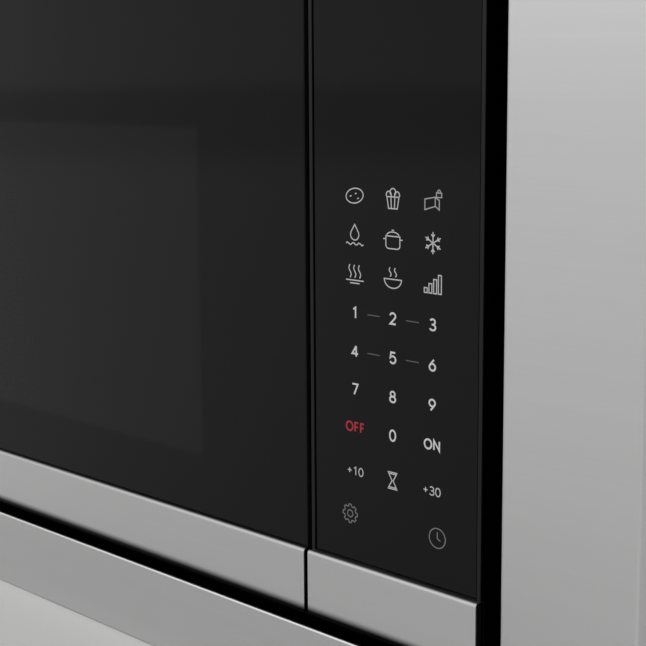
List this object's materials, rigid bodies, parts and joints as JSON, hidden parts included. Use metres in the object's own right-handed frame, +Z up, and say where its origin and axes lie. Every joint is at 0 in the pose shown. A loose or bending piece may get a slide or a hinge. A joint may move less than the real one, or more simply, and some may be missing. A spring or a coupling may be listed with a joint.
{
  "type": "built-in microwave oven",
  "caption": "Built-in microwave oven with a black glass door and touch panel in a brushed stainless trim frame, with a side-hung door, turntable and cooling fan.",
  "frame": {"origin": "middle of the four cabinet screw holes, on the plane of the cabinet's face", "axes": "+X to the viewer's right, +Y into the cabinet, +Z up"},
  "size_m": [0.762, 0.477, 0.483],
  "materials": {
    "stainless": "brushed",
    "black_glass": "gloss",
    "black_plastic": "satin",
    "black_paint": "satin",
    "grey_paint": "satin",
    "cavity_enamel": "satin",
    "zinc_steel": "satin",
    "clear_glass": "gloss",
    "rubber": "matt",
    "copper_wire": "satin",
    "core_steel": "matt",
    "fin_aluminium": "satin",
    "circuit_board": "satin",
    "mica": "matt",
    "white_nylon": "satin"
  },
  "bodies": {
    "oven": {"air_deflectors": "black_paint", "base_plate": "zinc_steel", "capacitor": "fin_aluminium", "capacitor_clamp": "black_plastic", "cavity_back": "cavity_enamel", "cavity_floor": "cavity_enamel", "cavity_wrap": "cavity_enamel", "control_board": "circuit_board", "cord_gland": "black_plastic", "corner_screws": "zinc_steel", "cover_screws": "zinc_steel", "display_module": "black_plastic", "fan_bulkhead": "zinc_steel", "fan_motor": "core_steel", "fan_strap": "zinc_steel", "feet": "rubber", "front_plate": "cavity_enamel", "hinge_brackets": "black_paint", "interlock_switches": "black_plastic", "lamp_bulb": "clear_glass", "lamp_holder": "zinc_steel", "latch_base": "black_plastic", "magnetron_core": "core_steel", "magnetron_filter_box": "zinc_steel", "magnetron_fins": "fin_aluminium", "magnetron_yoke": "zinc_steel", "mica_cover": "mica", "noise_filter_board": "circuit_board", "outer_cover": "grey_paint", "panel_frame": "black_plastic", "panel_glass": "black_glass", "panel_strip": "stainless", "rear_panel": "zinc_steel", "side_brackets": "black_paint", "thermal_cutouts": "zinc_steel", "transformer_coils": "copper_wire", "transformer_core": "core_steel", "trim_bottom_rail": "stainless", "trim_left_stile": "stainless", "trim_right_stile": "stainless", "trim_top_rail": "stainless", "turntable_motor": "zinc_steel", "unlock_solenoid": "zinc_steel", "waveguide": "zinc_steel"},
    "door": {"door_frame": "black_plastic", "door_glass": "black_glass", "door_strip": "stainless", "door_inner_panel": "black_paint", "door_window_pane": "clear_glass", "door_choke_cover": "black_plastic", "hinge_bushings": "white_nylon"},
    "latch": {"latch_hooks": "white_nylon"},
    "plunger": {"solenoid_plunger": "zinc_steel"},
    "fan": {"fan_rotor": "black_plastic"},
    "coupler": {"turntable_coupler": "white_nylon"},
    "tray": {"glass_tray": "clear_glass"},
    "spider": {"roller_spider": "white_nylon"},
    "roller_1": {"roller_1": "white_nylon"},
    "roller_2": {"roller_2": "white_nylon"},
    "roller_3": {"roller_3": "white_nylon"}
  },
  "joints": [
    {"name": "door_swing", "type": "hinge", "parent": "oven", "child": "door", "pos_m": [-0.28025, -0.0095, 0], "axis": [0, 0, -1], "range_deg": [0, 110]},
    {"name": "latch_lift", "type": "slide", "parent": "door", "child": "latch", "axis": [0, 0, 1], "range_m": [0, 0.004], "stiffness_N_per_m": 200, "springref_m": -0.01},
    {"name": "plunger_slide", "type": "slide", "parent": "oven", "child": "plunger", "axis": [1, 0, 0], "range_m": [0, 0.008], "stiffness_N_per_m": 150, "springref_m": -0.005},
    {"name": "fan_spin", "type": "hinge", "parent": "oven", "child": "fan", "pos_m": [0.211, 0.3765, 0.012], "axis": [0, 1, 0], "continuous": true},
    {"name": "turntable_spin", "type": "hinge", "parent": "oven", "child": "coupler", "pos_m": [-0.06825, 0.2215, -0.133], "axis": [0, 0, 1], "continuous": true},
    {"name": "tray_lift", "type": "slide", "parent": "coupler", "child": "tray", "axis": [0, 0, 1], "range_m": [0, 0.04]},
    {"name": "spider_spin", "type": "hinge", "parent": "oven", "child": "spider", "pos_m": [-0.06825, 0.2215, -0.133], "axis": [0, 0, 1], "continuous": true},
    {"name": "roller_1_spin", "type": "hinge", "parent": "spider", "child": "roller_1", "pos_m": [0.06175, 0.2215, -0.1247], "axis": [1, 0, 0], "continuous": true},
    {"name": "roller_2_spin", "type": "hinge", "parent": "spider", "child": "roller_2", "pos_m": [-0.13325, 0.33408, -0.1247], "axis": [-0.5, 0.866, 0], "continuous": true},
    {"name": "roller_3_spin", "type": "hinge", "parent": "spider", "child": "roller_3", "pos_m": [-0.13325, 0.10892, -0.1247], "axis": [-0.5, -0.866, 0], "continuous": true}
  ],
  "couplings": [
    {"joint": "spider_spin", "follows": "turntable_spin", "ratio": 0.5},
    {"joint": "roller_1_spin", "follows": "turntable_spin", "ratio": -8.125},
    {"joint": "roller_2_spin", "follows": "turntable_spin", "ratio": -8.125},
    {"joint": "roller_3_spin", "follows": "turntable_spin", "ratio": -8.125}
  ]
}
